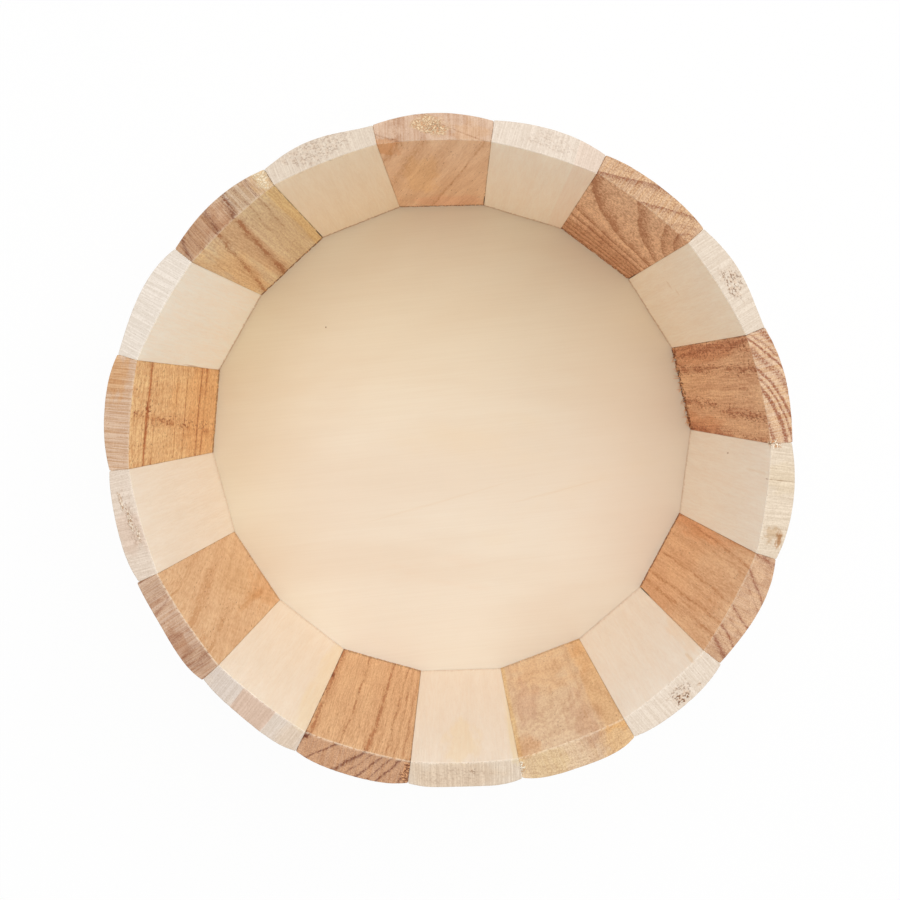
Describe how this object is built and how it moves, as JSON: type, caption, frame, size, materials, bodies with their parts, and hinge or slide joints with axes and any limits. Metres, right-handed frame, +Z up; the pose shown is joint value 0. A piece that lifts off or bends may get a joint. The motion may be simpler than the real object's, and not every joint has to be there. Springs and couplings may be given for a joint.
{
  "type": "round wooden basket",
  "caption": "Open round tub of flat-faced staves in two alternating woods, glued edge to edge around a plywood base panel; stands on its stave feet.",
  "frame": {"origin": "middle of the tub, on the surface that its stave feet stand on", "axes": "+Z up through the open mouth; +Y towards stave_01; +X towards stave_05 and stave_06"},
  "size_m": [0.2508, 0.2448, 0.127],
  "materials": {
    "brown_wood": "bare sawn wood",
    "pale_wood": "bare sawn wood",
    "plywood": "bare sanded plywood"
  },
  "bodies": {
    "root": {"stave_01": "brown_wood", "stave_02": "pale_wood", "stave_03": "brown_wood", "stave_04": "pale_wood", "stave_05": "brown_wood", "stave_06": "pale_wood", "stave_07": "brown_wood", "stave_08": "pale_wood", "stave_09": "brown_wood", "stave_10": "pale_wood", "stave_11": "brown_wood", "stave_12": "pale_wood", "stave_13": "brown_wood", "stave_14": "pale_wood", "stave_15": "brown_wood", "stave_16": "pale_wood", "stave_17": "brown_wood", "stave_18": "pale_wood", "base_panel": "plywood"}
  },
  "joints": []
}
